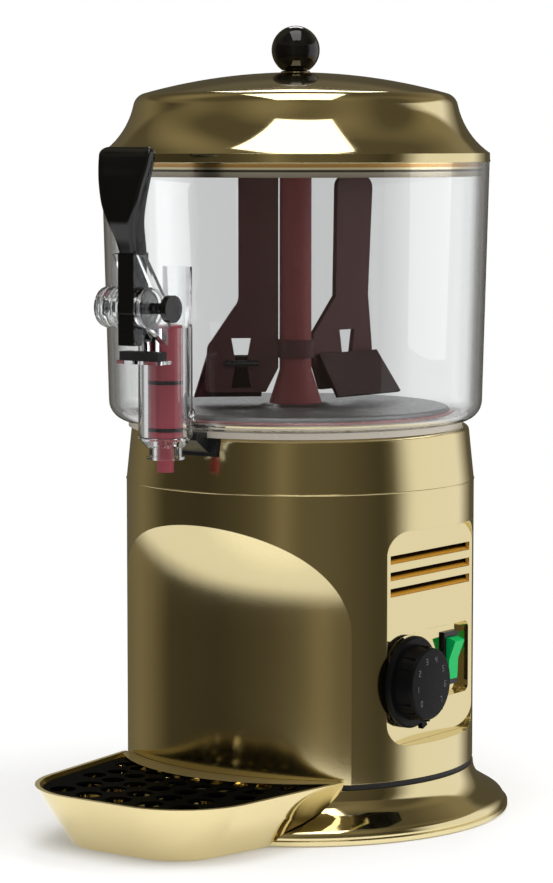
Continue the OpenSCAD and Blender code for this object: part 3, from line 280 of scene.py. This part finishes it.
# One look for each material of the part
LOOKS = {
    "gold": moulded("gold_polished", GOLD, POLISH, spread=0.012, bump=0.0, metallic=1.0),
    "black_gloss": moulded("black_gloss", (0.004, 0.004, 0.0042), 0.06, grain=200, bump=0.01),
    "black_satin": moulded("black_satin", (0.012, 0.012, 0.0125), 0.32, specular=0.35),
    "dial_black": moulded("dial_black", (0.0035, 0.0035, 0.0037), 0.42, bump=0.12, specular=0.10),
    "seal_rubber": rubber,
    "foot_rubber": rubber,
    "gasket_red": moulded("gasket_red", (0.055, 0.016, 0.016), 0.45),
    "clear_bowl": clear("clear_bowl", (0.975, 0.985, 0.985), specular=0.25),
    "clear_tap": clear("clear_tap", (0.97, 0.98, 0.985), edge=(0.30, 0.85), edge_grey=0.05),
    "piston_red": moulded("piston_red", (0.27, 0.05, 0.065), 0.34, specular=0.3),
    "column_red": moulded("column_red", (0.15, 0.036, 0.038), 0.40, specular=0.15, grain=200, bump=0.0,
                          edge=0.0),
    "paddle_brown": moulded("paddle_brown", (0.062, 0.025, 0.026), 0.36, specular=0.1, grain=200, bump=0.0),
    "scraper_brown": moulded("scraper_brown", (0.028, 0.011, 0.011), 0.34, specular=0.1, grain=200, bump=0.0),
    "plate_steel": moulded("plate_steel", (0.15, 0.15, 0.15), 0.38, metallic=0.9, grain=300, bump=0.05),
    "steel": moulded("steel", (0.55, 0.55, 0.56), 0.28, metallic=1.0, grain=400, bump=0.04),
    "motor_grey": moulded("motor_grey", (0.18, 0.19, 0.20), 0.45, metallic=0.2),
    "bush_plastic": moulded("cream_plastic", (0.62, 0.60, 0.52), 0.5),
    "contact_brass": moulded("contact_brass", (0.65, 0.48, 0.20), 0.3, metallic=1.0),
    "rocker_green": moulded("rocker_green", (0.002, 0.55, 0.13), 0.22, specular=0.15),
}
# Pieces whose surface differs from the rest of their material
gold_body = moulded("gold_body", GOLD, 0.13, spread=0.012, grain=1200, bump=0.0, metallic=1.0)
OWN_LOOK = {
    "body_shell": gold_body,
    "top_ring": gold_body,
    "lid_shell": lid_look(),
    "control_panel": panel_look(),
    "drip_grille": moulded("grille_black", (0.002, 0.002, 0.002), 0.45, bump=0.0, specular=0.02),
    "bowl_gasket": gasket_look(),
    "drip_tray": tray_look(),
}
# Faces that meet at more than this many degrees get a sharp edge. The edge of the niche is a weak one.
SHARP = 28
OWN_SHARP = {"body_shell": 12}

for part in frame["record"]["subparts"]:
    node = nodes[part["node"]]
    node.data.materials.clear()
    node.data.materials.append(OWN_LOOK.get(part["node"], LOOKS[part["material_slot"]]))
    for face in node.data.polygons:
        face.use_smooth = True
    weld = node.modifiers.new("weld", "WELD")
    weld.merge_threshold = 1e-6
    split = node.modifiers.new("split", "EDGE_SPLIT")
    split.split_angle = math.radians(OWN_SHARP.get(part["node"], SHARP))

# ---------------------------------------------------------------- pieces made here


def new_mesh(name, verts, faces, material):
    mesh = bpy.data.meshes.new(name)
    mesh.from_pydata(verts, [], faces)
    mesh.materials.append(material)
    o = bpy.data.objects.new(name, mesh)
    scene.collection.objects.link(o)
    return o


def piece(name, verts, faces, body, slot, look=None, smooth=True):
    """A piece of the object that moves with a body, in the look of its material slot or one of its own."""
    o = new_mesh(name, verts, faces, look or LOOKS[slot])
    for face in o.data.polygons:
        face.use_smooth = smooth
    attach(o, body)
    return o


def smooth_table(rows, z):
    """The numbers at height z, by smooth steps between the rows that are given. Heights come first."""
    if z <= rows[0][0]:
        return rows[0][1:]
    for i in range(len(rows) - 1):
        a, b = rows[i], rows[i + 1]
        if z <= b[0]:
            before = rows[i - 1] if i else a
            after = rows[i + 2] if i + 2 < len(rows) else b
            rise = b[0] - a[0]
            t = (z - a[0]) / rise
            out = []
            for k in range(1, len(a)):
                m0 = (b[k] - before[k]) / (b[0] - before[0]) * rise
                m1 = (after[k] - a[k]) / (after[0] - a[0]) * rise
                out.append((2 * t**3 - 3 * t**2 + 1) * a[k] + (t**3 - 2 * t**2 + t) * m0
                           + (3 * t**2 - 2 * t**3) * b[k] + (t**3 - t**2) * m1)
            return out
    return rows[-1][1:]


def loft(levels, around):
    """A closed skin over rings with the same number of points."""
    verts = [p for ring in levels for p in ring]
    faces = []
    for i in range(len(levels) - 1):
        for j in range(around):
            k = (j + 1) % around
            faces.append((i * around + j, i * around + k, (i + 1) * around + k, (i + 1) * around + j))
    faces.append(tuple(reversed(range(around))))
    faces.append(tuple(range((len(levels) - 1) * around, len(levels) * around)))
    return verts, faces


# The grip of the tap's lever, in millimetres. Each row has a height, the half width, the front and the back.
GRIP = [(340.0, 5.5, -168.0, -154.6), (348.0, 6.7, -170.6, -157.2), (357.0, 9.3, -174.4, -161.6),
        (366.0, 12.3, -176.4, -164.4), (378.0, 15.2, -175.9, -165.0), (388.0, 17.3, -173.8, -164.6),
        (399.0, 18.4, -171.2, -163.8)]
GRIP_AROUND = 48
GRIP_LEVELS = 40
# Corners: 1 is an ellipse and 0 a rectangle
GRIP_CORNER = 0.30
# Depth of the hollow for the thumb, where the half width is the second number
GRIP_HOLLOW, GRIP_HOLLOW_AT = 1.1, 17.0
# How far the middle wanders to the right on the way up
GRIP_LEAN = 1.4
GRIP_TOP_ROUND = 4.4
GRIP_THINNEST = 0.6


def grip_ring(z, shrink=0.0):
    """One outline of the grip at height z, drawn in by shrink."""
    half, front, back = smooth_table(GRIP, z)
    half_thick = (back - front) / 2
    middle = (front + back) / 2
    crown = GRIP_HOLLOW * (half / GRIP_HOLLOW_AT) ** 2
    lean = GRIP_LEAN * (half - GRIP[0][1]) / (GRIP[-1][1] - GRIP[0][1])
    ring = []
    for i in range(GRIP_AROUND):
        a = 2 * math.pi * (i + 0.5) / GRIP_AROUND
        c, s = math.cos(a), math.sin(a)
        x = (half - shrink) * math.copysign(abs(c) ** GRIP_CORNER, c)
        y = max(half_thick - shrink, GRIP_THINNEST) * math.copysign(abs(s) ** GRIP_CORNER, s)
        hollow = crown * (1 - (x / half) ** 2) if s < 0 else 0.0
        ring.append(((x + lean) / 1000, (middle + y + hollow) / 1000, z / 1000))
    return ring


grip_foot = GRIP[0][0]
grip_shoulder = GRIP[-1][0] - GRIP_TOP_ROUND
grip_step = (grip_shoulder - grip_foot) / (GRIP_LEVELS - 1)
grip_levels = [grip_ring(grip_foot + i * grip_step) for i in range(GRIP_LEVELS)]
for degrees in (12, 28, 45, 62, 78, 88):
    a = math.radians(degrees)
    drawn_in = GRIP_TOP_ROUND * (1 - math.cos(a))
    grip_levels.append(grip_ring(grip_shoulder + GRIP_TOP_ROUND * math.sin(a), drawn_in))
grip = piece("lever_grip", *loft(grip_levels, GRIP_AROUND), "lever", "black_gloss")
grip_split = grip.modifiers.new("split", "EDGE_SPLIT")
grip_split.split_angle = math.radians(50)
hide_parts("tap_grip")

# Plain numbers round the dial's face, each made of up to seven straight strokes. A stroke goes from x, y to
# x, y in steps of a digit's width.
STROKES = {"0": "abcdef", "1": "bc", "2": "abged", "3": "abgcd", "4": "fgbc", "5": "afgcd", "6": "afgecd",
           "7": "abc"}
SEGMENTS = {"a": (0, 1, 1, 1), "b": (1, 1, 1, 0), "c": (1, 0, 1, -1), "d": (0, -1, 1, -1), "e": (0, 0, 0, -1),
            "f": (0, 1, 0, 0), "g": (0, 0, 1, 0)}
DIAL_Y, DIAL_Z = -0.0245, 0.0875
DIGIT_SIZE = 0.0016
HALF_STROKE = 0.00016
NUMBER_RADIUS = 0.0145
FIRST_NUMBER = 225
NUMBER_STEP = 38.57
STROKE_SINK, STROKE_RISE = 0.00005, 0.00012


def dial_marks():
    face_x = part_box("thermostat_dial")[1].x
    verts, faces = [], []
    for i, digit in enumerate("01234567"):
        turn = math.radians(FIRST_NUMBER - i * NUMBER_STEP)
        middle_y = DIAL_Y + NUMBER_RADIUS * math.cos(turn)
        middle_z = DIAL_Z + NUMBER_RADIUS * math.sin(turn)
        for stroke in STROKES[digit]:
            x0, y0, x1, y1 = SEGMENTS[stroke]
            p = Vector((x0 - 0.5, y0)) * DIGIT_SIZE
            q = Vector((x1 - 0.5, y1)) * DIGIT_SIZE
            along = (q - p).normalized() * HALF_STROKE
            side = Vector((-along.y, along.x))
            base = len(verts)
            for x in (face_x - STROKE_SINK, face_x + STROKE_RISE):
                for c in (p - along - side, q + along - side, q + along + side, p - along + side):
                    verts.append((x, middle_y + c.x, middle_z + c.y))
            faces += [(base, base + 3, base + 2, base + 1), (base + 4, base + 5, base + 6, base + 7)]
            faces += [(base + k, base + (k + 1) % 4, base + 4 + (k + 1) % 4, base + 4 + k) for k in range(4)]
    return verts, faces


mark_grey = moulded("mark_grey", (0.16, 0.16, 0.16), 0.45, edge=0.0)
piece("dial_marks", *dial_marks(), "dial", "dial_black", mark_grey, smooth=False)


def ring_piece(name, profile, place, body, slot, around=96):
    """A closed turned ring over a loop of (radius, along). place puts (angle, radius, along) in space."""
    verts, faces = [], []
    k = len(profile)
    for i in range(around):
        a = 2 * math.pi * i / around
        verts += [place(a, r, t) for r, t in profile]
    for i in range(around):
        for j in range(k):
            m = (i + 1) % around
            faces.append((i * k + j, m * k + j, m * k + (j + 1) % k, i * k + (j + 1) % k))
    return piece(name, verts, faces, body, slot)


def round_profile(radius, along, reach, half, steps=12):
    """A rounded bead over the given radius."""
    turns = [2 * math.pi * i / steps for i in range(steps)]
    return [(radius + reach * math.cos(a), along + half * math.sin(a)) for a in turns]


PIVOT_Y, PIVOT_Z = -0.1584, 0.3090
SEAM_RADIUS, SEAM_Z, SEAM_BEAD = 0.1048, 0.2000, 0.0005


def about_pivot(a, r, t):
    return (t, PIVOT_Y + r * math.cos(a), PIVOT_Z + r * math.sin(a))


def about_centre(a, r, t):
    return (r * math.cos(a), r * math.sin(a), t)


# Turned beads on the clear ears of the tap: radius, place along the pivot, reach and half width
for side, bead in (("outer", (0.0111, -0.0188, 0.0009, 0.0021)), ("inner", (0.0111, -0.0112, 0.0009, 0.0026)),
                   ("right", (0.0110, 0.0093, 0.0008, 0.0010))):
    ring_piece("ear_bead_" + side, round_profile(*bead), about_pivot, "bowl", "clear_tap")
# The bright bead between the shell and the ring above it
ring_piece("seam_bead", round_profile(SEAM_RADIUS, SEAM_Z, SEAM_BEAD, SEAM_BEAD, 8), about_centre,
           "base", "gold", around=192)

# ---------------------------------------------------------------- stage and light


def stage_mesh(name, verts, faces, material):
    o = new_mesh(name, verts, faces, material)
    return o


def seen_white(n):
    """1 for rays that should find the studio's white: to the camera, mirrored or through clear parts."""
    straight = n.calc("MAXIMUM", n.ray("Is Camera Ray"), n.ray("Is Glossy Ray"))
    return n.calc("MAXIMUM", straight, n.ray("Is Transmission Ray"))


def floor_look():
    """A matt white floor that keeps the shadow, and fades into the studio's white away from the object."""
    n = Look("studio_floor")
    lift = n.calc("MULTIPLY", seen_white(n), 0.10)
    matt = n.principled({
        "Base Color": n.mix(n.noise(3.0), (0.88, 0.88, 0.88), (0.90, 0.90, 0.90)),
        "Roughness": 0.6,
        "Specular IOR Level": 0.0,
        "Emission Color": (1, 1, 1),
        "Emission Strength": n.calc("MULTIPLY_ADD", n.ray("Is Glossy Ray"), 0.16, lift)})
    away = n.add("ShaderNodeVectorMath", {0: n.coords()}, operation="LENGTH").outputs["Value"]
    fade = n.calc("MULTIPLY", n.ramp(away, 0.0, 1.0, 0.22, 0.62), seen_white(n))
    faded = n.blend(fade, matt, n.add("ShaderNodeEmission").outputs[0])
    # The gold mirrors only the part of the floor that is near the tray.
    near_tray = {0: n.coords(), 1: (0.02, -0.13, 0.0)}
    from_tray = n.add("ShaderNodeVectorMath", near_tray, operation="DISTANCE").outputs["Value"]
    beyond = n.calc("MULTIPLY", n.ramp(from_tray, 0.0, 1.0, 0.15, 0.20), n.ray("Is Glossy Ray"))
    return n.surface(n.blend(beyond, faded, n.add("ShaderNodeBsdfTransparent").outputs[0]))


FAR = 12.0
stage_mesh("floor", [(-FAR, -FAR, 0), (FAR, -FAR, 0), (FAR, FAR, 0), (-FAR, FAR, 0)], [(0, 1, 2, 3)],
           floor_look())

world = bpy.data.worlds.new("studio")
scene.world = world
world.use_nodes = True
air = Tree(world.node_tree)
air_light = air.ramp(seen_white(air), 0.62, 1.0, 0.0, 1.0)
background = world.node_tree.nodes["Background"]
through = air.calc("MULTIPLY_ADD", air.ray("Is Transmission Ray"), -0.33, air_light)
air.put(background.inputs["Strength"], through)
air.put(background.inputs["Color"], (1, 1, 1))


def softbox(name, azimuth, distance, height, width, tall, power, aim=(0, 0, 0.22)):
    """A rectangular lamp at that compass angle, counted from +X towards +Y."""
    data = bpy.data.lights.new(name, "AREA")
    data.shape = "RECTANGLE"
    data.size = width
    data.size_y = tall
    data.energy = power
    o = bpy.data.objects.new(name, data)
    scene.collection.objects.link(o)
    a = math.radians(azimuth)
    o.location = (distance * math.cos(a), distance * math.sin(a), height)
    o.rotation_euler = (Vector(aim) - o.location).to_track_quat("-Z", "Y").to_euler()
    return o


key = softbox("key", 32, 1.25, 0.8, 0.9, 1.5, 7)
key.visible_glossy = False
fill = softbox("fill", -96, 0.9, 1.75, 0.5, 0.4, 3)
fill.visible_glossy = False
softbox("back", 125, 1.1, 1.33, 0.5, 0.34, 3, (0, 0, 0.42))
softbox("top", -48, 0.36, 1.75, 0.9, 1.5, 11)


def only_seen_by(o, glossy=False, transmission=False):
    o.visible_camera = False
    o.visible_diffuse = False
    o.visible_glossy = glossy
    o.visible_transmission = transmission
    o.visible_volume_scatter = False
    o.visible_shadow = False


def glow(stops):
    """Colours for stops of (value, grey level, warmth)."""
    return [(at, (grey, grey * (1 - 0.13 * warm), grey * (1 - 0.42 * warm))) for at, grey, warm in stops]


def wall_look():
    """The walls of the studio, as the gold mirrors them: dark in front, with a pale wall at the right.

    The first stops go once round, from the left side over the front, the right and the back.
    """
    n = Look("studio_walls")
    x, y, z = n.apart(n.coords())
    turn = n.ramp(n.calc("ARCTAN2", y, x), 0.0, 1.0, -math.pi, math.pi)
    low = n.bands(turn, glow([
        (0.0, 0.20, 1), (0.03, 0.16, 1), (0.075, 0.055, 1), (0.17, 0.045, 1), (0.244, 0.075, 1),
        (0.285, 0.12, 1), (0.317, 0.22, 1), (0.35, 0.13, 1), (0.40, 0.12, 1), (0.45, 0.09, 1),
        (0.50, 0.055, 1), (0.522, 0.12, 1), (0.556, 0.80, 0), (0.572, 0.95, 0), (0.70, 0.95, 0),
        (0.735, 0.40, 0.5), (0.765, 0.10, 1), (0.86, 0.08, 1), (0.94, 0.14, 1), (1.0, 0.20, 1)]))
    high = n.bands(n.noise(0.55, 0.0), glow([
        (0.0, 0.08, 1), (0.35, 0.10, 1), (0.50, 0.17, 1), (0.65, 0.25, 1), (1.0, 0.28, 1)]))
    wall = n.mix(n.ramp(z, 0.0, 1.0, 1.20, 1.36), low, high)
    # Low down the walls run out into the white floor.
    return n.glowing(n.mix(n.ramp(z, 1.0, 0.0, -0.95, -0.72), wall, (0.94, 0.94, 0.94)))


WALL_RADIUS, WALL_MIDDLE = 2.5, 0.25
WALL_TALL, WALL_AROUND = 24, 48


def wall_ring(tilt):
    """One ring of the round wall, at an angle above its middle."""
    r = WALL_RADIUS * math.cos(tilt)
    turns = [2 * math.pi * j / WALL_AROUND for j in range(WALL_AROUND)]
    return [(r * math.cos(a), r * math.sin(a), WALL_MIDDLE + WALL_RADIUS * math.sin(tilt)) for a in turns]


wall_rings = [wall_ring(math.pi * (i / WALL_TALL - 0.5)) for i in range(WALL_TALL + 1)]
only_seen_by(stage_mesh("walls", *loft(wall_rings, WALL_AROUND), wall_look()), glossy=True)


def card_look():
    """Grey bands across a card, from its left to its right."""
    n = Look("grey_card")
    across = n.ramp(n.apart(n.coords())[0], 0.0, 1.0, -0.20, 0.20)
    return n.glowing(n.bands(across, glow([
        (0.0, 0.30, 0), (0.14, 0.62, 0), (0.20, 0.95, 0), (0.24, 0.95, 0), (0.30, 0.68, 0), (0.50, 0.63, 0),
        (0.66, 0.64, 0), (0.72, 0.82, 0), (0.80, 0.86, 0), (0.83, 0.97, 0), (0.90, 0.90, 0),
        (1.0, 0.35, 0)])))


# A grey card behind the bowl, seen only through clear parts, gives the clear plastic its grey bands.
card = stage_mesh("card", [(-0.45, 0, -0.18), (0.45, 0, -0.18), (0.45, 0, 0.20), (-0.45, 0, 0.20)],
                  [(0, 1, 2, 3)], card_look())
card.location = from_view(0.0, 0.35, 0.27)
card.rotation_euler = (0, 0, VIEW_TURN)
only_seen_by(card, transmission=True)

STRIP_RADIUS, STRIP_TOP = 1.4, 0.32
STRIP_HALF, STRIP_STEPS = 52, 40


def dark_strip():
    """An upright strip round the front, with its middle towards the photographer."""
    n = Look("dark_strip")
    look_dark = n.glowing(n.mix(n.noise(2.0), (0.045, 0.04, 0.035), (0.07, 0.06, 0.05)))
    verts, faces = [], []
    for i in range(STRIP_STEPS + 1):
        a = math.radians(VIEW_DEGREES - 90 + STRIP_HALF * (2 * i / STRIP_STEPS - 1))
        verts += [(STRIP_RADIUS * math.cos(a), STRIP_RADIUS * math.sin(a), z) for z in (0.0, STRIP_TOP)]
        if i:
            faces.append((2 * i - 2, 2 * i - 1, 2 * i + 1, 2 * i))
    return stage_mesh("dark_strip", verts, faces, look_dark)


# The inner faces of the clear walls mirror the strip instead of the white floor.
only_seen_by(dark_strip(), transmission=True)
